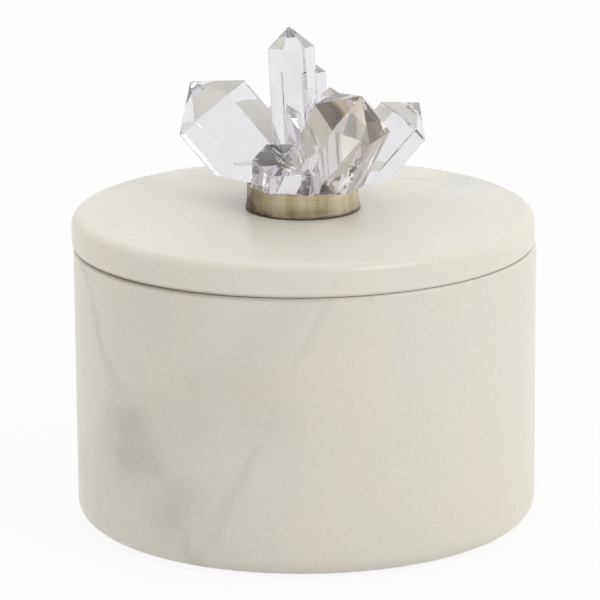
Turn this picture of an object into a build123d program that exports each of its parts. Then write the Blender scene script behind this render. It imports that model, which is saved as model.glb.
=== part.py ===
from build123d import *
import math
import os
from dataclasses import dataclass

# Vanity trinket box, in millimetres. A cup is turned from marble, and a loose marble lid drops into
# its mouth on a spigot. On the lid stands a metal collar that is filled with clear resin, and a
# cluster of quartz points is set in the resin. One screw from inside the collar holds it on the lid.
# The origin is the middle of the underside, on the table, with +Z up and -Y to the front.

# ---- The cup ----
box_diameter = 127.0
box_height = 77.1          # table to the face that the lid rests on
wall = 9.0
floor_thickness = 10.0
foot_rounding = 5.5        # outside, at the bottom
well_rounding = 6.0        # inside, at the bottom
lip_rounding = 0.8         # both edges of the mouth

# ---- The felt under the cup ----
felt_thickness = 1.0
felt_margin = 8.0          # marble left showing round the felt's recess
felt_proud = 0.3           # how far the felt stands below the marble
felt_gap = 0.3             # recess wall to felt

# ---- The lid ----
lid_centre_x = -0.4        # the loose lid lies this far to the left, within its spigot's clearance
lid_edge_height = 8.9
lid_crown = 0.6            # how much the middle of the lid is higher than its rim
land_margin = 1.0          # how far the flat land under the collar runs past it
lid_top_rounding = 3.0
lid_under_rounding = 1.2
spigot_depth = 4.0
spigot_clearance = 1.0     # radial, spigot to cup wall
spigot_rounding = 1.0

# ---- The screw that holds the finial ----
screw_diameter = 4.0
screw_length = 14.0        # under the head
thread_pitch = 0.7
thread_depth = 0.35
thread_run = 7.5           # threaded length, from the tip
head_diameter = 8.0
head_height = 2.4
head_rounding = 1.0
driver_slot = 1.2          # width and depth
hole_clearance = 0.3       # radial, round the screw in the lid, gasket and base plate
washer_diameter = 12.0
washer_thickness = 1.0
washer_clearance = 0.15    # radial, round the screw
nut_across_flats = 7.0
nut_height = 3.2
nut_clearance = 0.02       # radial, over the thread's crests
counterbore_clearance = 2.0     # radial, round the washer, so that a socket goes on the nut
screw_end_recess = 0.3     # the screw's tip is this far inside the spigot's face

# ---- The collar ----
collar_rim_radius = 15.35
collar_wall = 0.8
collar_band_height = 5.9
foot_flare = 0.4           # how far the band spreads at its foot
flare_height = 3.0
base_plate_thickness = 0.8
base_plate_rounding = 0.3
gasket_thickness = 0.3
gasket_overhang = 0.1      # the clear gasket shows this far round the base plate
seam_angle = -124.0        # where the band's ends meet, in degrees from +X
seam_width = 0.25
seam_depth = 0.12

# ---- The setting ----
setting_depth = 3.0        # how deep the crystals stand in the resin
cup_clearance = 0.6        # crystals to the collar's inner wall
resin_edge_drop = 0.5      # the resin meets the collar this far below the rim
resin_crown = 0.8          # and rises this far above it in the middle


@dataclass
class Crystal:
    """A six-sided quartz point: where its axis meets the rim, how it leans, and its size."""
    x: float               # where its axis crosses the rim's plane, as a share of the rim's radius
    y: float
    towards: float         # the direction that it leans to, in degrees from +X
    lean: float            # degrees from upright
    twist: float           # turn about its own axis, in degrees
    radius: float          # axis to a prism edge
    length: float          # rim's plane to the shoulder, along the axis
    tip: float             # shoulder to the point
    skew_x: float = 0.0    # how far the point is off the axis
    skew_y: float = 0.0


# A later crystal was ground to fit against each one listed before it.
crystals = {
    "crystal_small_front": Crystal(0.05, -0.98, -47, 12.5, 10, 1.9, 6.4, 1.6),
    "crystal_smoky": Crystal(0.29, -0.33, -42, 30.4, -3, 11.0, 24.0, 7.5, -0.5, 0.2),
    "crystal_low": Crystal(-0.36, -0.36, -82, 22, 4, 8.7, 9.0, 1.0, -0.6, -1.6),
    "crystal_tall": Crystal(-0.07, 0.23, 123, 5.4, 8, 6.6, 36.5, 6.0, -0.3),
    "crystal_right": Crystal(0.91, 0.29, 19, 44.3, 4, 8.0, 21.0, 6.7),
    "crystal_left": Crystal(-0.62, 0.68, 165, 41.7, 0, 11.8, 24.0, 9.5, 0.3),
    "crystal_back_mid": Crystal(0.29, 0.62, 126, 5.4, -6, 3.7, 28.5, 3.0),
    "crystal_back_right": Crystal(0.59, 0.52, 196, 3.2, -7, 2.7, 23.0, 2.1),
    "crystal_back_left": Crystal(-0.16, 0.81, 121, 24.4, 15, 5.2, 17.0, 4.5),
}

# ---- Worked out from the sizes above ----
box_radius = box_diameter / 2
well_radius = box_radius - wall
marble_bottom = felt_proud
well_floor = marble_bottom + floor_thickness
felt_radius = box_radius - foot_rounding - felt_margin - felt_gap

lid_radius = box_radius
lid_edge_top = box_height + lid_edge_height
lid_top = lid_edge_top + lid_crown
spigot_radius = well_radius - spigot_clearance
spigot_bottom = box_height - spigot_depth

gasket_top = lid_top + gasket_thickness
plate_top = gasket_top + base_plate_thickness
rim = plate_top + collar_band_height
collar_inner = collar_rim_radius - collar_wall
plate_radius = collar_rim_radius + foot_flare
land_radius = plate_radius + land_margin

screw_radius = screw_diameter / 2
hole_radius = screw_radius + hole_clearance
washer_radius = washer_diameter / 2
screw_tip = plate_top - screw_length
nut_bottom = screw_tip + screw_end_recess
nut_top = nut_bottom + nut_height
washer_top = nut_top + washer_thickness
counterbore_radius = washer_radius + counterbore_clearance

FROM_BOTTOM = (Align.CENTER, Align.CENTER, Align.MIN)


def disc(radius, bottom, top, x=0.0):
    """A cylinder about the vertical line at x, between two heights."""
    return Pos(x, 0, bottom) * Cylinder(radius, top - bottom, align=FROM_BOTTOM)


def rings_at(solid, radius, height, x=0.0):
    """The circular edges of that radius and height about the vertical line at x."""
    def matches(edge):
        middle = edge.arc_center
        return (abs(edge.radius - radius) < 1e-3 and abs(middle.Z - height) < 1e-3
                and abs(middle.X - x) < 1e-3)
    return [edge for edge in solid.edges().filter_by(GeomType.CIRCLE) if matches(edge)]


def make_box_body():
    """The cup: a turned cylinder with a round-bottomed well and a shallow recess for the felt."""
    body = disc(box_radius, marble_bottom, box_height)
    body = fillet(rings_at(body, box_radius, marble_bottom), foot_rounding)
    well = disc(well_radius, well_floor, box_height + 1)
    well = fillet(rings_at(well, well_radius, well_floor), well_rounding)
    body -= well
    mouth = rings_at(body, box_radius, box_height) + rings_at(body, well_radius, box_height)
    body = fillet(mouth, lip_rounding)
    return body - disc(felt_radius + felt_gap, 0, felt_thickness)


def make_base_felt():
    return disc(felt_radius, 0, felt_thickness)


def make_lid():
    """A slab with a low crown and a flat land for the collar, a spigot, and a hole for the screw."""
    middle_radius = (land_radius + lid_radius) / 2
    crown = ThreePointArc((land_radius, lid_top), (middle_radius, lid_top - 0.3 * lid_crown),
                          (lid_radius, lid_edge_top))
    outline = Polyline((land_radius, lid_top), (0, lid_top), (0, box_height),
                       (lid_radius, box_height), (lid_radius, lid_edge_top))
    slab = revolve(Plane.XZ * make_face([crown, outline]), Axis.Z)
    slab = fillet(rings_at(slab, lid_radius, lid_edge_top), lid_top_rounding)
    slab = fillet(rings_at(slab, lid_radius, box_height), lid_under_rounding)
    spigot = disc(spigot_radius, spigot_bottom, box_height)
    spigot = fillet(rings_at(spigot, spigot_radius, spigot_bottom), spigot_rounding)
    hole = disc(hole_radius, spigot_bottom - 1, lid_top + 1)
    counterbore = disc(counterbore_radius, spigot_bottom - 1, washer_top)
    return Pos(lid_centre_x, 0, 0) * (slab + spigot - hole - counterbore)


def make_collar_gasket():
    gasket = disc(plate_radius + gasket_overhang, lid_top, gasket_top, lid_centre_x)
    return gasket - disc(hole_radius, lid_top, gasket_top, lid_centre_x)


def make_collar_base():
    plate = disc(plate_radius, gasket_top, plate_top, lid_centre_x)
    plate = fillet(rings_at(plate, plate_radius, gasket_top, lid_centre_x), base_plate_rounding)
    return plate - disc(hole_radius, gasket_top, plate_top, lid_centre_x)


def make_collar_band():
    """A rolled strip, soldered at its seam, that spreads to the plate's edge at its foot."""
    flare_top = plate_top + flare_height
    flare = ThreePointArc((plate_radius, plate_top),
                          (collar_rim_radius + 0.3 * foot_flare, plate_top + 0.4 * flare_height),
                          (collar_rim_radius, flare_top))
    wall_outline = Polyline((collar_rim_radius, flare_top), (collar_rim_radius, rim), (collar_inner, rim),
                            (collar_inner, plate_top), (plate_radius, plate_top))
    band = Pos(lid_centre_x, 0, 0) * revolve(Plane.XZ * make_face([flare, wall_outline]), Axis.Z)
    seam = Pos(collar_rim_radius, 0, (plate_top + rim) / 2) * Box(2 * seam_depth, seam_width, rim)
    return band - Pos(lid_centre_x, 0, 0) * Rot(0, 0, seam_angle) * seam


def make_finial_screw():
    """A slotted pan-head screw. Its thread is a row of closed V grooves."""
    core = screw_radius - thread_depth
    outline = [(0, plate_top), (screw_radius, plate_top)]
    turns = int(thread_run / thread_pitch)
    for turn in range(turns, 0, -1):
        crest = screw_tip + turn * thread_pitch
        outline += [(screw_radius, crest), (core, crest - thread_pitch / 2)]
    outline += [(screw_radius, screw_tip + 0.1 * thread_pitch), (core, screw_tip), (0, screw_tip)]
    shank = revolve(Plane.XZ * make_face(Polyline(*outline, close=True)), Axis.Z)
    head_top = plate_top + head_height
    head = disc(head_diameter / 2, plate_top, head_top)
    head = fillet(rings_at(head, head_diameter / 2, head_top), head_rounding)
    slot = Pos(0, 0, head_top) * Box(head_diameter + 1, driver_slot, 2 * driver_slot)
    return Pos(lid_centre_x, 0, 0) * (shank + (head - slot))


def make_lid_washer():
    washer = disc(washer_radius, nut_top, washer_top, lid_centre_x)
    return washer - disc(screw_radius + washer_clearance, nut_top, washer_top, lid_centre_x)


def make_lid_nut():
    """A hexagon nut with its corners turned off at both faces."""
    corner_radius = nut_across_flats / math.sqrt(3)
    blank = extrude(RegularPolygon(corner_radius, 6), nut_height)
    turned = Cylinder(corner_radius, nut_height, align=FROM_BOTTOM)
    turned = chamfer(turned.edges().filter_by(GeomType.CIRCLE), 0.5 * (corner_radius - nut_across_flats / 2))
    bore = Cylinder(screw_radius + nut_clearance, nut_height, align=FROM_BOTTOM)
    return Pos(lid_centre_x, 0, nut_bottom) * ((blank & turned) - bore)


def polyhedron(faces):
    """A solid from flat faces, each given by its corners."""
    return Solid(Shell([Face(Wire.make_polygon(corners, close=True)) for corners in faces]))


def make_crystal_blank(crystal):
    """A hexagonal prism with a six-sided point, long enough below the rim to be cut to its seat."""
    lean = math.radians(crystal.lean)
    towards = math.radians(crystal.towards)
    axis = Vector(math.sin(lean) * math.cos(towards), math.sin(lean) * math.sin(towards), math.cos(lean))
    across = (Vector(1, 0, 0) - axis * axis.X).normalized()
    deep = axis.cross(across)
    start = Vector(lid_centre_x + crystal.x * collar_rim_radius, crystal.y * collar_rim_radius, rim)
    root = start - axis * (setting_depth + 4 * crystal.radius)
    shoulder = start + axis * crystal.length
    point = shoulder + axis * crystal.tip + across * crystal.skew_x + deep * crystal.skew_y

    def ring(middle):
        angles = [math.radians(crystal.twist + 60 * side) for side in range(6)]
        return [middle + (across * math.cos(a) + deep * math.sin(a)) * crystal.radius for a in angles]

    low, high = ring(root), ring(shoulder)
    faces = [low[::-1]]
    for side in range(6):
        after = (side + 1) % 6
        faces.append([low[side], low[after], high[after], high[side]])
        faces.append([high[side], high[after], point])
    return polyhedron(faces)


def largest(shape):
    """The largest solid of a shape that a cut may have split."""
    return max(shape.solids(), key=lambda solid: solid.volume)


def make_crystals():
    """Each point stands in the resin inside the collar, and is cut flat where it lies over the rim."""
    reach = 4 * box_diameter
    over_rim = Pos(0, 0, rim) * Box(reach, reach, reach, align=FROM_BOTTOM)
    seat = disc(collar_inner - cup_clearance, rim - setting_depth, rim + 1, lid_centre_x)
    room = over_rim + seat
    placed = {}
    for name, crystal in crystals.items():
        stone = largest(make_crystal_blank(crystal) & room)
        for neighbour in placed.values():
            stone = largest(stone - neighbour)
        placed[name] = stone
    return placed


def make_setting_resin(set_in_it):
    """Clear resin poured round the screw's head and the crystals, with a low dome between them."""
    edge = rim - resin_edge_drop
    crown = rim + resin_crown
    dome = ThreePointArc((-collar_inner, edge), (0, crown), (collar_inner, edge))
    half_dome = ThreePointArc((0, crown), dome @ 0.75, (collar_inner, edge))
    sides = Polyline((collar_inner, edge), (collar_inner, plate_top), (0, plate_top), (0, crown))
    fill = Pos(lid_centre_x, 0, 0) * revolve(Plane.XZ * make_face([half_dome, sides]), Axis.Z)
    for piece in set_in_it:
        fill = largest(fill - piece)
    return fill


nodes = {
    "box_body": make_box_body(),
    "base_felt": make_base_felt(),
    "lid": make_lid(),
    "collar_gasket": make_collar_gasket(),
    "collar_base": make_collar_base(),
    "collar_band": make_collar_band(),
    "finial_screw": make_finial_screw(),
    "lid_washer": make_lid_washer(),
    "lid_nut": make_lid_nut(),
}
stones = make_crystals()
nodes["setting_resin"] = make_setting_resin([nodes["finial_screw"], *stones.values()])
nodes.update(stones)

os.makedirs("parts", exist_ok=True)
for name, shape in nodes.items():
    shape.label = name
    export_step(shape, f"parts/{name}.step")
    low, high = shape.bounding_box().min, shape.bounding_box().max
    print(f"{name:22s} {shape.volume:11.2f} mm3   z {low.Z:7.2f} to {high.Z:7.2f}")
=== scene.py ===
# %% [markdown]
# # A marble trinket box with a quartz finial
# The construction of the box is already made to size, and it is loaded here as a fixed frame. What
# this lesson adds is the looks: finely turned marble, a soldered nickel collar, ground quartz points
# and clear resin. Everything is in metres, in the frame's own coordinates, and the outside of each
# piece is read from the frame. Colours, clouds and light were set one by one.

import math

import bmesh
import bpy
import numpy as np
from mathutils import Matrix, Vector


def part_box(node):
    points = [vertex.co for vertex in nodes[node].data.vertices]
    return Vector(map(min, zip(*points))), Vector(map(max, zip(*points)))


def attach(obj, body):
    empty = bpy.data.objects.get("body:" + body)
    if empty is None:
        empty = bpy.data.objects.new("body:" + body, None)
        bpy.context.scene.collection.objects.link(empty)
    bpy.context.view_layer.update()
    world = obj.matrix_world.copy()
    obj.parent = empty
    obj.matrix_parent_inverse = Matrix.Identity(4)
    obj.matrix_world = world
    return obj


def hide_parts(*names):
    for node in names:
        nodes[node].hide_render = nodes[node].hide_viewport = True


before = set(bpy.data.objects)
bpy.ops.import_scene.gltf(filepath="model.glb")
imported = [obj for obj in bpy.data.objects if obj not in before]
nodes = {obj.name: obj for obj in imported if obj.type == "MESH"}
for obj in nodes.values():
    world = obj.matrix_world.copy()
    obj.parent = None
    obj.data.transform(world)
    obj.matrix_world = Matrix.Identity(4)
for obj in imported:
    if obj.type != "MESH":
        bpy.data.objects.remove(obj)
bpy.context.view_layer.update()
print("nodes in the frame:", len(nodes))

# %% [markdown]
# ## Sizes
# The outsides of the pieces come from the frame's boxes. A box says nothing about what is inside it,
# so the few inner sizes of the turned marble are named here once, in metres.

# %% Sizes
MM = 0.001
cup_low, cup_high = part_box("box_body")
lid_low, lid_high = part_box("lid")
band_low, band_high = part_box("collar_band")
felt_low, felt_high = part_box("base_felt")

cup_radius = (cup_high.x - cup_low.x) / 2
lid_radius = (lid_high.x - lid_low.x) / 2
lid_x = (lid_low.x + lid_high.x) / 2    # the loose lid lies a little to one side
seat = cup_high.z                       # where the lid rests on the cup
collar_x = (band_low.x + band_high.x) / 2
foot_radius = (band_high.x - band_low.x) / 2
rim = band_high.z                       # top of the collar

WALL = 9.0 * MM
FLOOR = 10.0 * MM
FOOT_ROUNDING = 5.5 * MM
WELL_ROUNDING = 6.0 * MM
LIP_ROUNDING = 0.8 * MM
LID_EDGE = 8.9 * MM
LID_TOP_ROUNDING = 3.0 * MM
LID_UNDER_ROUNDING = 1.2 * MM
SPIGOT_CLEARANCE = 1.0 * MM
SPIGOT_ROUNDING = 1.0 * MM
HOLE_RADIUS = 2.3 * MM
COUNTERBORE_RADIUS = 8.0 * MM
FELT_GAP = 0.3 * MM
print(f"cup radius {cup_radius / MM:.2f} mm, seat {seat / MM:.2f} mm, rim {rim / MM:.2f} mm")

# %% [markdown]
# ## Turning a piece
# A lathe makes a surface of revolution, and so does this: an outline in radius and height is carried
# round the vertical axis. The outline is a short list of corners, each with its own rounding, which
# is how a turner would mark it out. The whole grid of points is worked out in one go as an array.

# %% An outline with rounded corners, and the lathe
def rounded(corners, steps=10):
    """The points of an outline whose corners are (radius, height, rounding).

    At a corner between unit directions u and v back along its two edges, the arc touches both edges
    at rounding / tan(half the angle between them), and its points swing about the arc's centre."""
    points = []
    for index, (r, z, rounding) in enumerate(corners):
        here = np.array([r, z])
        if rounding == 0:
            points.append(here[None])
            continue
        u = np.array(corners[index - 1][:2]) - here
        v = np.array(corners[(index + 1) % len(corners)][:2]) - here
        u, v = u / np.linalg.norm(u), v / np.linalg.norm(v)
        half = math.acos(np.clip(u @ v, -1, 1)) / 2
        bisector = (u + v) / np.linalg.norm(u + v)
        centre = here + bisector * rounding / math.sin(half)
        start = here + u * rounding / math.tan(half) - centre
        end = here + v * rounding / math.tan(half) - centre
        sweep = math.pi - 2 * half
        t = np.linspace(0, 1, steps)[:, None]
        arc = (start * np.sin((1 - t) * sweep) + end * np.sin(t * sweep)) / math.sin(sweep)
        points.append(centre + arc)
    return np.concatenate(points)


def new_piece(name, points, faces, smooth_under=35):
    """A mesh object from arrays of points and faces, with doubles merged and faces turned outwards."""
    mesh = bpy.data.meshes.new(name)
    mesh.from_pydata(points, [], faces)
    shape = bmesh.new()
    shape.from_mesh(mesh)
    bmesh.ops.remove_doubles(shape, verts=shape.verts, dist=1e-7)
    bmesh.ops.recalc_face_normals(shape, faces=shape.faces)
    shape.to_mesh(mesh)
    shape.free()
    mesh.shade_smooth()
    mesh.set_sharp_from_angle(angle=math.radians(smooth_under))
    piece = bpy.data.objects.new(name, mesh)
    bpy.context.scene.collection.objects.link(piece)
    print(f"{name}: {len(mesh.vertices)} points, {len(mesh.polygons)} faces")
    return piece


def turned(name, outline, turns=288, centre_x=0.0, shaping=None, closed=False):
    """A turned piece: point (r, z) of the outline at angle a stands at (r cos a, r sin a, z).

    shaping(r, z, a) may give back slightly other radii and heights, as handwork does. A closed
    outline joins its last point to its first; an open one starts and ends on the axis."""
    a = np.arange(turns) * 2 * math.pi / turns
    r, angle = np.meshgrid(outline[:, 0], a, indexing="ij")
    z = np.repeat(outline[:, 1:], turns, axis=1)
    if shaping:
        r, z = shaping(r, z, angle)
    points = np.stack([centre_x + r * np.cos(angle), r * np.sin(angle), z], axis=-1).reshape(-1, 3)
    rows = len(outline) if closed else len(outline) - 1
    row, column = np.meshgrid(np.arange(rows), np.arange(turns), indexing="ij")
    below, beside = (row + 1) % len(outline), (column + 1) % turns
    corners = [row * turns + column, row * turns + beside, below * turns + beside, below * turns + column]
    faces = np.stack(corners, axis=-1).reshape(-1, 4)
    return new_piece(name, points.tolist(), faces.tolist())


# %% [markdown]
# ## The marble cup and lid
# Honed stone is never as true as turned metal: the outside drifts by a few hundredths of a
# millimetre as it is rubbed down by hand, and that is what makes the long reflections along an edge
# waver. The drift is a sum of a few slow waves round the piece, far smaller than any fit.

# %% The cup
def hand_honed(drift, outer):
    """Radii moved by drift times three slow waves of angle and height, only near the outer wall."""
    def shaping(r, z, a):
        wave = np.sin(2 * a + 0.6) + 0.6 * np.sin(5 * a + 90 * z) + 0.4 * np.sin(9 * a - 140 * z + 1.9)
        near_wall = np.clip((r - outer + 4 * MM) / (4 * MM), 0, 1)
        return r + (wave - 1.2) * drift * near_wall, z
    return shaping


well_radius = cup_radius - WALL
recess_radius = (felt_high.x - felt_low.x) / 2 + FELT_GAP
recess_top = felt_high.z
cup_outline = rounded([
    (0, recess_top, 0),
    (recess_radius, recess_top, 0.2 * MM),
    (recess_radius, cup_low.z, 0.3 * MM),
    (cup_radius, cup_low.z, FOOT_ROUNDING),
    (cup_radius, seat, LIP_ROUNDING),
    (well_radius, seat, LIP_ROUNDING),
    (well_radius, cup_low.z + FLOOR, WELL_ROUNDING),
    (0, cup_low.z + FLOOR, 0),
], steps=14)
cup = turned("marble_cup", cup_outline, shaping=hand_honed(0.03 * MM, cup_radius))
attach(cup, "box")
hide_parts("box_body")

# %% [markdown]
# The lid's top is very slightly domed, from a flat land under the collar out to its rim, and its top
# edge is a soft round of about 3 mm. The dome is a parabola, close enough to the real shallow arc.

# %% The lid
land_radius = foot_radius + 1.0 * MM
edge_top = seat + LID_EDGE
spigot_radius = well_radius - SPIGOT_CLEARANCE
counterbore_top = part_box("lid_washer")[1].z

crown_r = np.linspace(land_radius, lid_radius - LID_TOP_ROUNDING - 0.4 * MM, 12)
crown_share = (crown_r - land_radius) / (lid_radius - land_radius)
crown_z = lid_high.z - (lid_high.z - edge_top) * crown_share ** 1.5
crown = [(float(r), float(z), 0) for r, z in zip(crown_r, crown_z)]
lid_outline = rounded([
    (HOLE_RADIUS, lid_high.z, 0.15 * MM),
    *crown,
    (lid_radius, edge_top, LID_TOP_ROUNDING),
    (lid_radius, seat, LID_UNDER_ROUNDING),
    (spigot_radius, seat, 0.3 * MM),
    (spigot_radius, lid_low.z, SPIGOT_ROUNDING),
    (COUNTERBORE_RADIUS, lid_low.z, 0.3 * MM),
    (COUNTERBORE_RADIUS, counterbore_top, 0.3 * MM),
    (HOLE_RADIUS, counterbore_top, 0.15 * MM),
], steps=14)
lid = turned("marble_lid", lid_outline, centre_x=lid_x, shaping=hand_honed(0.04 * MM, lid_radius),
             closed=True)
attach(lid, "lid")
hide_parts("lid")

# %% [markdown]
# ## The felt
# The disc under the box is wool felt: soft at its cut edge, and slightly uneven where fibres mat
# together. It is turned like the marble, and then its faces are given a low relief of matted lumps.

# %% The felt disc
def matted(depth):
    """Heights moved by depth times a product of waves across the disc, as matted wool lies."""
    def shaping(r, z, a):
        x, y = r * np.cos(a) / MM, r * np.sin(a) / MM
        lumps = np.sin(1.7 * x + 0.8 * np.sin(0.9 * y)) * np.sin(1.5 * y + 0.9 * np.sin(1.1 * x))
        outward = np.where(z > felt_high.z / 2, 1.0, -1.0)
        return r, z - outward * depth * (0.5 + 0.5 * lumps)
    return shaping


felt_radius = (felt_high.x - felt_low.x) / 2
reach = np.linspace(0, felt_radius - 0.6 * MM, 70)
felt_edge = rounded([
    (felt_radius - 0.6 * MM, felt_low.z, 0),
    (felt_radius, felt_low.z, 0.3 * MM),
    (felt_radius, felt_high.z, 0.3 * MM),
    (felt_radius - 0.6 * MM, felt_high.z, 0),
], steps=5)
felt_outline = np.concatenate([
    np.stack([reach[:-1], np.full(69, felt_low.z)], axis=1),
    felt_edge,
    np.stack([reach[:-1][::-1], np.full(69, felt_high.z)], axis=1),
])
felt = turned("felt_disc", felt_outline, turns=240, shaping=matted(0.08 * MM))
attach(felt, "box")
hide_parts("base_felt")

# %% [markdown]
# ## The collar
# A strip of nickel silver is rolled into a ring, soldered at its ends, and spun out a little at its
# foot where it is soldered to a round plate. On the ring the seam shows as a fine upright line, and
# the metal is drawn in slightly beside it.

# %% The band, its seam and its base plate
SEAM_ANGLE = math.radians(-124)
BAND_WALL = 0.8 * MM
FOOT_FLARE = 0.4 * MM
FLARE_HEIGHT = 3.0 * MM


def soldered(r, z, a):
    """Radii drawn in along the seam by a narrow and a wide bell, and a ring that isn't quite round."""
    off = (a - SEAM_ANGLE + math.pi) % (2 * math.pi) - math.pi
    across = off * r
    narrow = np.exp(-(across / (0.12 * MM)) ** 2)
    wide = np.exp(-(across / (1.4 * MM)) ** 2)
    outside = r > foot_radius - FOOT_FLARE - 0.3 * BAND_WALL
    drawn_in = 0.10 * MM * narrow + 0.05 * MM * wide + 0.03 * MM * (1 + np.sin(3 * a + 0.4))
    return r - np.where(outside, drawn_in, 0), z


band_radius = foot_radius - FOOT_FLARE
down = np.linspace(0, 1, 9)
flare = np.stack([foot_radius - FOOT_FLARE * np.sin(down * math.pi / 2) ** 0.8,
                  band_low.z + FLARE_HEIGHT * down], axis=1)
band_top = rounded([
    (band_radius, band_low.z + 1.3 * FLARE_HEIGHT, 0),
    (band_radius, rim, 0.2 * MM),
    (band_radius - BAND_WALL, rim, 0.2 * MM),
    (band_radius - BAND_WALL, band_low.z, 0),
], steps=6)
band = turned("nickel_band", np.concatenate([flare, band_top]), turns=720, centre_x=collar_x,
              shaping=soldered, closed=True)
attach(band, "lid")
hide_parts("collar_band")

plate_low, plate_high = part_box("collar_base")
plate_outline = rounded([
    (HOLE_RADIUS, plate_low.z, 0),
    (foot_radius, plate_low.z, 0.3 * MM),
    (foot_radius, plate_high.z, 0.08 * MM),
    (HOLE_RADIUS, plate_high.z, 0),
], steps=6)

plate = turned("nickel_plate", plate_outline, centre_x=collar_x, closed=True)
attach(plate, "lid")
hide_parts("collar_base")

# %% [markdown]
# ## The quartz points
# Each crystal in the frame is already the right solid, ground to fit its neighbours, but its edges
# are mathematically sharp and its mesh is loose triangles. A polished stone has a tiny rounded edge
# that catches the light, so a copy of each is merged into flat facets, shrunk by a hair so that two
# touching stones keep an air gap between them, and bevelled.

# %% Merge, shrink and bevel each stone
STONE_EDGE = 0.30 * MM
WORN_EDGE = 0.9 * MM            # the low stone in front is tumbled rounder than the rest
AIR_GAP = 0.02 * MM


def ground_stone(node_name, edge):
    """A crystal's own shape as flat facets with rounded edges."""
    mesh = nodes[node_name].data.copy()
    mesh.name = node_name + "_stone"
    shape = bmesh.new()
    shape.from_mesh(mesh)
    bmesh.ops.remove_doubles(shape, verts=shape.verts, dist=0.004 * MM)
    bmesh.ops.dissolve_limit(shape, angle_limit=math.radians(1.5), verts=shape.verts, edges=shape.edges)
    shape.normal_update()
    for vertex in shape.verts:
        vertex.co -= vertex.normal * AIR_GAP
    sharp = [e for e in shape.edges if e.is_manifold and e.calc_face_angle() > math.radians(12)]
    bmesh.ops.bevel(shape, geom=sharp, offset=edge, segments=3, profile=0.5, affect="EDGES",
                    clamp_overlap=True)
    shape.to_mesh(mesh)
    shape.free()
    mesh.materials.clear()
    mesh.shade_flat()
    stone = bpy.data.objects.new(mesh.name, mesh)
    bpy.context.scene.collection.objects.link(stone)
    print(f"{stone.name}: {len(mesh.polygons)} faces")
    return stone


stones = {}
for node_name in sorted(nodes):
    if node_name.startswith("crystal_"):
        stone = ground_stone(node_name, WORN_EDGE if node_name == "crystal_low" else STONE_EDGE)
        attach(stone, "lid")
        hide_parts(node_name)
        stones[node_name] = stone

# %% [markdown]
# ## Materials
# One small function adds a shader node with its settings and its links. Colours are written as the
# sRGB hex values a painter's chart gives, and turned to the linear values that the shader works in.

# %% Colour and node helpers
def srgb(code):
    """A hex colour as linear red, green, blue and alpha."""
    parts = [int(code[i:i + 2], 16) / 255 for i in (1, 3, 5)]
    linear = [c / 12.92 if c <= 0.04045 else ((c + 0.055) / 1.055) ** 2.4 for c in parts]
    return (*linear, 1.0)


def add(tree, kind, links=None, **settings):
    """A new shader node: settings are its own, and links gives a socket a value or another's output."""
    made = tree.nodes.new(kind)
    for name, value in settings.items():
        setattr(made, name, value)
    for socket, value in (links or {}).items():
        if isinstance(value, bpy.types.NodeSocket):
            tree.links.new(value, made.inputs[socket])
        else:
            made.inputs[socket].default_value = value
    return made


def new_material(name, **shader):
    """A material with a Principled shader, and its object coordinates."""
    material = bpy.data.materials.new(name)
    material.use_nodes = True
    tree = material.node_tree
    surface = tree.nodes["Principled BSDF"]
    for socket, value in shader.items():
        surface.inputs[socket.replace("_", " ")].default_value = value
    place = add(tree, "ShaderNodeTexCoord").outputs["Object"]
    return material, tree, surface, place


def ramp(tree, factor, stops):
    """A colour ramp through (position, colour) stops."""
    made = add(tree, "ShaderNodeValToRGB", {"Fac": factor})
    elements = made.color_ramp.elements
    while len(elements) < len(stops):
        elements.new(0.5)
    for element, (position, colour) in zip(elements, stops):
        element.position = position
        element.color = colour
    return made.outputs["Color"]


# %% [markdown]
# ### Honed white marble
# White marble is calcite grains of about half a millimetre, which let light in a few millimetres, so
# the stone glows a little and its shadows are soft. Honing leaves it satin, without the mirror of a
# polish. The ground is a warm ivory that drifts over some centimetres, with pale grey clouds and
# thin soft veins where clay lay between the beds. Clouds and veins are placed on the piece: a cloud
# is a distance from a point, and a vein is a distance from a plane, both bent by noise.

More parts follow.
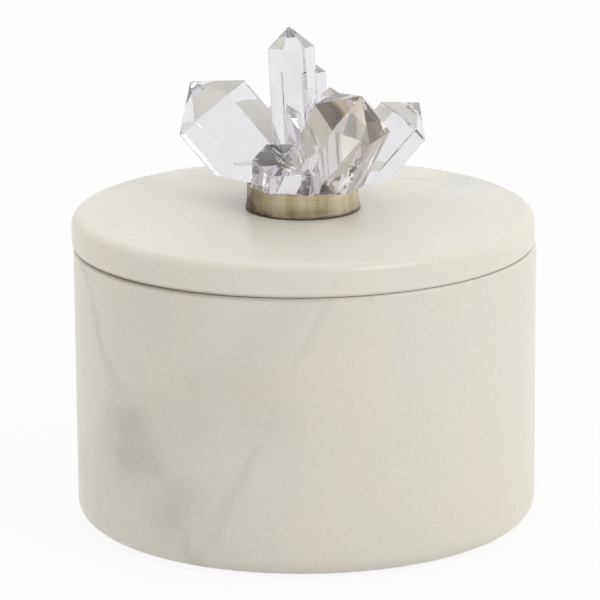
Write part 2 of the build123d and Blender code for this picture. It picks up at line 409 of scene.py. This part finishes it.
# %% Honed marble
def honed_marble(name, ground, warm, clouds, veins):
    """clouds: (centre, radius, strength); veins: (point, normal, half width, strength). In metres."""
    material, tree, surface, place = new_material(name, Roughness=0.36, IOR=1.5)
    surface.inputs["Subsurface Weight"].default_value = 0.25
    surface.inputs["Subsurface Radius"].default_value = (1.0, 0.85, 0.7)
    surface.inputs["Subsurface Scale"].default_value = 3.0 * MM

    # Beds about 35 mm apart, and finer figure about 9 mm apart, bend every cloud and vein.
    slow = add(tree, "ShaderNodeTexNoise", {"Vector": place, "Scale": 28.0, "Detail": 3.0,
                                            "Roughness": 0.55, "Distortion": 0.6})
    fine = add(tree, "ShaderNodeTexNoise", {"Vector": place, "Scale": 110.0, "Detail": 6.0,
                                            "Roughness": 0.6})
    bend = add(tree, "ShaderNodeVectorMath", {0: slow.outputs["Color"], 1: (0.5, 0.5, 0.5)},
               operation="SUBTRACT")
    bend_more = add(tree, "ShaderNodeVectorMath", {0: fine.outputs["Color"], 1: (0.5, 0.5, 0.5)},
                    operation="SUBTRACT")
    bent = add(tree, "ShaderNodeVectorMath", {0: bend.outputs[0], 1: (0.014, 0.014, 0.014), 2: place},
               operation="MULTIPLY_ADD")
    bent = add(tree, "ShaderNodeVectorMath", {0: bend_more.outputs[0], 1: (0.005, 0.005, 0.005),
                                              2: bent.outputs[0]}, operation="MULTIPLY_ADD")

    # The warm tint comes and goes over the slow figure.
    colour = ramp(tree, slow.outputs["Fac"], [(0.35, srgb(ground)), (0.68, srgb(warm))])
    greys = []
    for centre, radius, strength in clouds:
        away = add(tree, "ShaderNodeVectorMath", {0: bent.outputs[0], 1: centre}, operation="DISTANCE")
        greys.append(add(tree, "ShaderNodeMapRange", {"Value": away.outputs["Value"], "From Min": radius,
                                                      "From Max": 0.15 * radius, "To Min": 0.0,
                                                      "To Max": strength},
                         interpolation_type="SMOOTHSTEP").outputs[0])
    for point, normal, half_width, strength in veins:
        unit = Vector(normal).normalized()
        along = add(tree, "ShaderNodeVectorMath", {0: bent.outputs[0], 1: unit}, operation="DOT_PRODUCT")
        off = add(tree, "ShaderNodeMath", {0: along.outputs["Value"], 1: unit.dot(Vector(point))},
                  operation="SUBTRACT")
        off = add(tree, "ShaderNodeMath", {0: off.outputs[0]}, operation="ABSOLUTE")
        greys.append(add(tree, "ShaderNodeMapRange", {"Value": off.outputs[0], "From Min": half_width,
                                                      "From Max": 0.0, "To Min": 0.0, "To Max": strength},
                         interpolation_type="SMOOTHSTEP").outputs[0])
    grey = greys[0]
    for other in greys[1:]:
        grey = add(tree, "ShaderNodeMath", {0: grey, 1: other}, operation="MAXIMUM").outputs[0]
    # Grey is patchy: it follows the fine figure too.
    patchy = add(tree, "ShaderNodeMapRange", {"Value": fine.outputs["Fac"], "From Min": 0.35,
                                              "From Max": 0.65, "To Min": 0.55, "To Max": 1.0})
    grey = add(tree, "ShaderNodeMath", {0: grey, 1: patchy.outputs[0]}, operation="MULTIPLY").outputs[0]
    clouded = add(tree, "ShaderNodeMix", {"Factor": grey, "A": colour, "B": srgb("#8F918F")},
                  data_type="RGBA")

    # Painted shade: both edges of the joint under the lid are darkened towards brown, most of all on the
    # left, away from the lamp.
    split = add(tree, "ShaderNodeSeparateXYZ", {0: place})
    from_joint = add(tree, "ShaderNodeMath", {0: split.outputs["Z"], 1: seat}, operation="SUBTRACT")
    from_joint = add(tree, "ShaderNodeMath", {0: from_joint.outputs[0]}, operation="ABSOLUTE")
    near = add(tree, "ShaderNodeMapRange", {"Value": from_joint.outputs[0], "From Min": 1.3 * MM,
                                            "From Max": 0.2 * MM}, interpolation_type="SMOOTHSTEP")
    side = add(tree, "ShaderNodeMapRange", {"Value": split.outputs["X"], "From Min": 0.030,
                                            "From Max": -0.045, "To Min": 0.0, "To Max": 0.6})
    joint_shade = add(tree, "ShaderNodeMath", {0: near.outputs[0], 1: side.outputs[0]}, operation="MULTIPLY")
    clouded = add(tree, "ShaderNodeMix", {"Factor": joint_shade.outputs[0], "A": clouded.outputs["Result"],
                                          "B": srgb("#7A6A54")}, data_type="RGBA")

    # Calcite grains, drawn at 0.9 mm so that they show, shift each grain's lightness a little.
    grains = add(tree, "ShaderNodeTexVoronoi", {"Vector": place, "Scale": 1100.0})
    sparkle = add(tree, "ShaderNodeMapRange", {"Value": grains.outputs["Color"], "To Min": 0.975,
                                               "To Max": 1.02})
    toned = add(tree, "ShaderNodeVectorMath", {0: clouded.outputs["Result"], 1: sparkle.outputs[0]},
                operation="MULTIPLY")
    tree.links.new(toned.outputs[0], surface.inputs["Base Color"])

    # Honing marks: satin that varies over a few millimetres, and a very low relief.
    satin = add(tree, "ShaderNodeMapRange", {"Value": fine.outputs["Fac"], "To Min": 0.22, "To Max": 0.38})
    tree.links.new(satin.outputs[0], surface.inputs["Roughness"])
    grit = add(tree, "ShaderNodeTexNoise", {"Vector": place, "Scale": 900.0, "Detail": 3.0})
    relief = add(tree, "ShaderNodeBump", {"Height": grit.outputs["Fac"], "Strength": 0.12,
                                          "Distance": 0.05 * MM})
    tree.links.new(relief.outputs[0], surface.inputs["Normal"])
    return material


front = -cup_radius
cup_marble = honed_marble(
    "honed_marble", "#DBD9D0", "#DFDACD",
    clouds=[((-0.047, -0.043, 0.030), 0.020, 0.40),
            ((-0.038, -0.051, 0.018), 0.014, 0.25),
            ((-0.062, 0.010, 0.055), 0.016, 0.25),
            ((0.040, 0.049, 0.030), 0.024, 0.35),
            ((-0.012, front, 0.050), 0.024, 0.12)],
    veins=[((-0.002, front, 0.060), (0.90, 0.10, -0.44), 0.0030, 0.14),
           ((-0.030, front, 0.040), (0.80, 0.30, -0.60), 0.0110, 0.10),
           ((0.030, 0.050, 0.040), (0.70, -0.60, 0.55), 0.0030, 0.22)])
lid_marble = honed_marble(
    "honed_marble_lid", "#DFDDD4", "#E2DDD0",
    clouds=[((0.046, 0.034, lid_high.z), 0.015, 0.22),
            ((-0.020, 0.040, lid_high.z), 0.020, 0.14)],
    veins=[((0.045, 0.030, lid_high.z), (0.25, 0.95, 0.10), 0.0025, 0.18)])
cup.data.materials.append(cup_marble)
lid.data.materials.append(lid_marble)

# %% [markdown]
# ### Brushed nickel silver
# The collar is nickel silver, brushed along the strip before it was rolled, so its fine scratches
# run round the band. It has gone warm under its lacquer. Its colour is painted darker brown towards
# the foot, and darker on the left side as painted shade, both in patches. The scratches are noise
# that is stretched: close together up the band, and long round it.

# %% Brushed nickel silver
def brushed_nickel(name):
    material, tree, surface, place = new_material(name, Metallic=1.0, Roughness=0.34)
    stretched = add(tree, "ShaderNodeMapping", {"Vector": place, "Scale": (60.0, 60.0, 2600.0)})
    scratches = add(tree, "ShaderNodeTexNoise", {"Vector": stretched.outputs[0], "Scale": 1.0,
                                                 "Detail": 4.0, "Roughness": 0.65})
    dark_patches = add(tree, "ShaderNodeTexNoise", {"Vector": place, "Scale": 170.0, "Detail": 4.0,
                                              "Roughness": 0.6})
    split = add(tree, "ShaderNodeSeparateXYZ", {0: place})
    # Height up the band, from 0 at its foot to 1 at its rim.
    height = add(tree, "ShaderNodeMapRange", {"Value": split.outputs["Z"], "From Min": plate_low.z,
                                              "From Max": rim})
    # Painted shade: the left side of the band, away from the lamp, is painted darker.
    left = add(tree, "ShaderNodeMapRange", {"Value": split.outputs["X"],
                                            "From Min": collar_x - 0.35 * foot_radius,
                                            "From Max": collar_x - 0.95 * foot_radius}, clamp=True)
    foot_dark = add(tree, "ShaderNodeMapRange", {"Value": height.outputs[0], "From Min": 0.55,
                                                 "From Max": 0.0, "To Min": 0.0, "To Max": 0.55})
    shade_and_foot_dark = add(tree, "ShaderNodeMath", {0: left.outputs[0], 1: 1.0, 2: foot_dark.outputs[0]},
                  operation="MULTIPLY_ADD")
    shade_and_foot_dark = add(tree, "ShaderNodeMath", {0: shade_and_foot_dark.outputs[0], 1: dark_patches.outputs["Fac"]},
                  operation="MULTIPLY")
    shade_and_foot_dark = add(tree, "ShaderNodeMath", {0: shade_and_foot_dark.outputs[0], 1: 1.7}, operation="MULTIPLY")
    shade_and_foot_dark.use_clamp = True
    # Upright blooms in the lacquer, about 4 mm apart round the band.
    upright = add(tree, "ShaderNodeMapping", {"Vector": place, "Scale": (240.0, 240.0, 25.0)})
    blooms = add(tree, "ShaderNodeTexNoise", {"Vector": upright.outputs[0], "Scale": 1.0, "Detail": 3.0})
    figure = add(tree, "ShaderNodeMath", {0: scratches.outputs["Fac"], 1: 0.3}, operation="MULTIPLY")
    figure = add(tree, "ShaderNodeMath", {0: blooms.outputs["Fac"], 1: 0.7, 2: figure.outputs[0]},
                 operation="MULTIPLY_ADD")
    clean = ramp(tree, figure.outputs[0], [(0.36, srgb("#BBAD89")), (0.62, srgb("#E6DCC0"))])
    # The dark brown: painted shade on the left, and a darker colour towards the foot.
    toned = add(tree, "ShaderNodeMix", {"Factor": shade_and_foot_dark.outputs[0], "A": clean, "B": srgb("#4E3E28")},
                data_type="RGBA")
    tree.links.new(toned.outputs["Result"], surface.inputs["Base Color"])
    dull = add(tree, "ShaderNodeMapRange", {"Value": scratches.outputs["Fac"], "To Min": 0.24,
                                            "To Max": 0.44})
    tree.links.new(dull.outputs[0], surface.inputs["Roughness"])
    relief = add(tree, "ShaderNodeBump", {"Height": scratches.outputs["Fac"], "Strength": 0.35,
                                          "Distance": 0.02 * MM})
    tree.links.new(relief.outputs[0], surface.inputs["Normal"])
    return material


nickel = brushed_nickel("brushed_nickel_silver")
for piece in (band, plate):
    piece.data.materials.append(nickel)

# %% [markdown]
# ### Polished quartz
# Quartz is clear with an index of refraction of 1.544. Polished facets are bright but not optically
# flat: they roll slightly over some millimetres, which bends what is seen through them. The smoky
# stone is clear at its root and turns brown in its point, as real smoky quartz does.

# %% Quartz, clear and smoky
def polished_quartz(name, clear, smoke=None, smoke_from=None, smoke_to=None):
    """smoke is the colour in the point, reached between two places along the stone's own axis."""
    material, tree, surface, place = new_material(name, Roughness=0.02, IOR=1.544)
    surface.inputs["Transmission Weight"].default_value = 1.0
    surface.inputs["Base Color"].default_value = srgb(clear)
    veils = add(tree, "ShaderNodeTexNoise", {"Vector": place, "Scale": 190.0, "Detail": 3.0,
                                             "Roughness": 0.5, "Distortion": 0.8})
    if smoke:
        start, end = Vector(smoke_from), Vector(smoke_to)
        along = add(tree, "ShaderNodeVectorMath", {0: place, 1: (end - start).normalized()},
                    operation="DOT_PRODUCT")
        base = start.dot((end - start).normalized())
        share = add(tree, "ShaderNodeMapRange", {"Value": along.outputs["Value"], "From Min": base,
                                                 "From Max": base + (end - start).length},
                    interpolation_type="SMOOTHSTEP")
        colour = add(tree, "ShaderNodeMix", {"Factor": share.outputs[0], "A": srgb(clear),
                                             "B": srgb(smoke)}, data_type="RGBA").outputs["Result"]
    else:
        colour = ramp(tree, veils.outputs["Fac"], [(0.3, srgb(clear)), (0.75, srgb("#E6E5E8"))])
    tree.links.new(colour, surface.inputs["Base Color"])
    haze = add(tree, "ShaderNodeMapRange", {"Value": veils.outputs["Fac"], "From Min": 0.45,
                                            "From Max": 0.8, "To Min": 0.0, "To Max": 0.10})
    tree.links.new(haze.outputs[0], surface.inputs["Roughness"])
    roll = add(tree, "ShaderNodeTexNoise", {"Vector": place, "Scale": 260.0, "Detail": 1.0})
    relief = add(tree, "ShaderNodeBump", {"Height": roll.outputs["Fac"], "Strength": 0.25,
                                          "Distance": 0.12 * MM})
    tree.links.new(relief.outputs[0], surface.inputs["Normal"])
    return material


quartz = polished_quartz("polished_quartz", "#EDECEF")
smoky_low, smoky_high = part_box("crystal_smoky")
smoke_end = Vector((smoky_high.x, smoky_low.y, smoky_high.z))
smoke_start = Vector(((smoky_low.x + smoky_high.x) / 2, (smoky_low.y + smoky_high.y) / 2,
                      smoky_low.z + 0.45 * (smoky_high.z - smoky_low.z)))
smoky = polished_quartz("smoky_quartz", "#F0EEEC", "#BFAB94", smoke_start, smoke_end)
for node_name, stone in stones.items():
    stone.data.materials.append(smoky if node_name == "crystal_smoky" else quartz)

# %% [markdown]
# ### Resin, gasket, fasteners and felt
# The casting resin has the faint yellow of epoxy and is milky with fine bubbles, so that it throws
# light back up into the stones. The gasket is soft clear vinyl. The screw, nut and washer are zinc
# plated steel with a dull spangle, and the felt is grey wool with short fibres of a few tenths of a
# millimetre.

# %% The small finishes
def clear_plastic(name, colour, roughness, ior, wave, clearness):
    """Clear cast or moulded plastic: wave is the spacing of its slow surface ripples, in metres."""
    material, tree, surface, place = new_material(name, Roughness=roughness, IOR=ior)
    surface.inputs["Transmission Weight"].default_value = clearness
    ripples = add(tree, "ShaderNodeTexNoise", {"Vector": place, "Scale": 1 / wave, "Detail": 2.0})
    tint = ramp(tree, ripples.outputs["Fac"], [(0.3, srgb(colour)), (0.8, srgb("#FBFAF6"))])
    tree.links.new(tint, surface.inputs["Base Color"])
    relief = add(tree, "ShaderNodeBump", {"Height": ripples.outputs["Fac"], "Strength": 0.5,
                                          "Distance": 0.3 * MM})
    tree.links.new(relief.outputs[0], surface.inputs["Normal"])
    return material


def zinc_plate(name):
    material, tree, surface, place = new_material(name, Metallic=1.0, Roughness=0.4)
    # Plating spangle of about 0.8 mm.
    spangle = add(tree, "ShaderNodeTexVoronoi", {"Vector": place, "Scale": 1250.0})
    tone = ramp(tree, spangle.outputs["Distance"], [(0.0, srgb("#C9CCD0")), (0.8, srgb("#A9ADB2"))])
    tree.links.new(tone, surface.inputs["Base Color"])
    dull = add(tree, "ShaderNodeMapRange", {"Value": spangle.outputs["Distance"], "To Min": 0.3,
                                            "To Max": 0.5})
    tree.links.new(dull.outputs[0], surface.inputs["Roughness"])
    return material


def wool_felt(name):
    material, tree, surface, place = new_material(name, Roughness=0.95)
    surface.inputs["Sheen Weight"].default_value = 0.4
    surface.inputs["Sheen Roughness"].default_value = 0.5
    fibres = add(tree, "ShaderNodeTexNoise", {"Vector": place, "Scale": 2600.0, "Detail": 5.0,
                                              "Roughness": 0.75, "Distortion": 2.5})
    mats = add(tree, "ShaderNodeTexNoise", {"Vector": place, "Scale": 240.0, "Detail": 3.0})
    mixed = add(tree, "ShaderNodeMath", {0: fibres.outputs["Fac"], 1: mats.outputs["Fac"]},
                operation="MULTIPLY")
    tone = ramp(tree, mixed.outputs[0], [(0.12, srgb("#8C867A")), (0.42, srgb("#BDB6A8"))])
    tree.links.new(tone, surface.inputs["Base Color"])
    relief = add(tree, "ShaderNodeBump", {"Height": mixed.outputs[0], "Strength": 0.7,
                                          "Distance": 0.25 * MM})
    tree.links.new(relief.outputs[0], surface.inputs["Normal"])
    return material


felt.data.materials.append(wool_felt("wool_felt"))
small_finishes = {
    "setting_resin": clear_plastic("casting_resin", "#F1ECDF", 0.06, 1.5, 4.0 * MM, 0.35),
    "collar_gasket": clear_plastic("clear_vinyl", "#F1F1EC", 0.12, 1.53, 6.0 * MM, 0.9),
    "finial_screw": zinc_plate("zinc_plated_steel"),
}
small_finishes["lid_nut"] = small_finishes["lid_washer"] = small_finishes["finial_screw"]
for node_name, material in small_finishes.items():
    mesh = nodes[node_name].data
    mesh.materials.clear()
    mesh.materials.append(material)

# %% [markdown]
# ## Floor, light and camera
# The box stands in a white light tent. The world is white where the camera looks at it, and for the
# object it is a soft room: brightest behind and above, and greyer towards the viewer. That grey is
# what gives clear quartz its facets, since glass only shows what is round it. One large soft lamp
# stands at the front right, and the floor keeps a faint shadow.

# %% The floor
FLOOR_SIZE = 4.0
SEEN_WHITE = 0.90         # share of plain white where the floor is seen; the rest takes shadow
floor_mesh = bpy.data.meshes.new("floor")
half = FLOOR_SIZE / 2
corners = [(-half, -half, 0), (half, -half, 0), (half, half, 0), (-half, half, 0)]
floor_mesh.from_pydata(corners, [], [(0, 1, 2, 3)])
floor = bpy.data.objects.new("floor", floor_mesh)
bpy.context.scene.collection.objects.link(floor)
floor_white = bpy.data.materials.new("white_sweep")
floor_white.use_nodes = True
tree = floor_white.node_tree
tree.nodes.remove(tree.nodes["Principled BSDF"])
rays = add(tree, "ShaderNodeLightPath")
seen = add(tree, "ShaderNodeMath", {0: rays.outputs["Is Camera Ray"], 1: rays.outputs["Is Glossy Ray"]},
           operation="MAXIMUM")
seen = add(tree, "ShaderNodeMath", {0: seen.outputs[0], 1: rays.outputs["Is Transmission Ray"]},
           operation="MAXIMUM")
share = add(tree, "ShaderNodeMath", {0: seen.outputs[0], 1: SEEN_WHITE}, operation="MULTIPLY")
paper = add(tree, "ShaderNodeBsdfDiffuse", {"Color": srgb("#F7F7F7")})
glow = add(tree, "ShaderNodeEmission", {"Color": (1, 1, 1, 1), "Strength": 1.0})
mixed = add(tree, "ShaderNodeMixShader", {0: share.outputs[0], 1: paper.outputs[0], 2: glow.outputs[0]})
tree.links.new(mixed.outputs[0], tree.nodes["Material Output"].inputs["Surface"])
floor_mesh.materials.append(floor_white)

# %% The room
world = bpy.data.worlds.new("light_tent")
world.use_nodes = True
bpy.context.scene.world = world
tree = world.node_tree
direction = add(tree, "ShaderNodeTexCoord").outputs["Generated"]
# Share of the way from the dim front, low left, to the bright back, high right.
towards = add(tree, "ShaderNodeVectorMath", {0: direction, 1: (0.08, 0.68, 0.36)}, operation="DOT_PRODUCT")
towards = add(tree, "ShaderNodeMath", {0: towards.outputs["Value"], 1: 0.5, 2: 0.5},
              operation="MULTIPLY_ADD")
room = ramp(tree, towards.outputs[0], [(0.10, srgb("#B3A797")), (0.34, srgb("#CCC9CF")),
                                       (0.54, srgb("#EFEDEC")), (0.74, srgb("#FFFFFF"))])
rays = add(tree, "ShaderNodeLightPath")
tent = add(tree, "ShaderNodeMix", {"Factor": rays.outputs["Is Camera Ray"], "A": room,
                                   "B": (1, 1, 1, 1)}, data_type="RGBA")
tree.links.new(tent.outputs["Result"], tree.nodes["Background"].inputs["Color"])
tree.nodes["Background"].inputs["Strength"].default_value = 1.0


# %% The lamps
def soft_lamp(name, place, aim, side, power):
    """A square area lamp at place that faces aim."""
    lamp = bpy.data.lights.new(name, "AREA")
    lamp.shape = "SQUARE"
    lamp.size = side
    lamp.energy = power
    made = bpy.data.objects.new(name, lamp)
    made.location = place
    made.rotation_euler = (Vector(aim) - Vector(place)).to_track_quat("-Z", "Y").to_euler()
    bpy.context.scene.collection.objects.link(made)


middle = (0, 0, seat)
soft_lamp("key_lamp", (0.75, -0.75, 0.95), middle, 0.55, 4.4)

# %% [markdown]
# The camera looks down by about 15 degrees from 1.2 m, through a long lens, so the cup's sides hardly
# converge. It is turned by a little under half a degree, as a hand-set tripod is.

# %% The camera
ELEVATION = math.radians(14.64)
ROLL = math.radians(-0.42)
DISTANCE = 1.2139
LENS = 264.2
AIM = Vector((-0.0014, 0, 0.0603))
forward = Vector((0, math.cos(ELEVATION), -math.sin(ELEVATION)))
upright = Vector((0, math.sin(ELEVATION), math.cos(ELEVATION)))
across = math.cos(ROLL) * Vector((1, 0, 0)) + math.sin(ROLL) * upright
up = -math.sin(ROLL) * Vector((1, 0, 0)) + math.cos(ROLL) * upright
camera_data = bpy.data.cameras.new("camera")
camera_data.lens = LENS
camera_data.sensor_width = 36.0
camera_data.clip_end = 20.0
camera = bpy.data.objects.new("camera", camera_data)
camera.matrix_world = Matrix((
    (*(across[0], up[0], -forward[0]), (AIM - DISTANCE * forward)[0]),
    (*(across[1], up[1], -forward[1]), (AIM - DISTANCE * forward)[1]),
    (*(across[2], up[2], -forward[2]), (AIM - DISTANCE * forward)[2]),
    (0, 0, 0, 1),
))
bpy.context.scene.collection.objects.link(camera)
bpy.context.scene.camera = camera
bpy.context.scene.view_settings.view_transform = "Standard"

# %% [markdown]
# Light is thrown back many times inside a cut stone before it comes out, so the paths are let bounce
# more often than usual. With too few bounces clear facets come out black.

# %% Bounces for the quartz
paths = bpy.context.scene.cycles
paths.max_bounces = 32
paths.glossy_bounces = 20
paths.transmission_bounces = 24
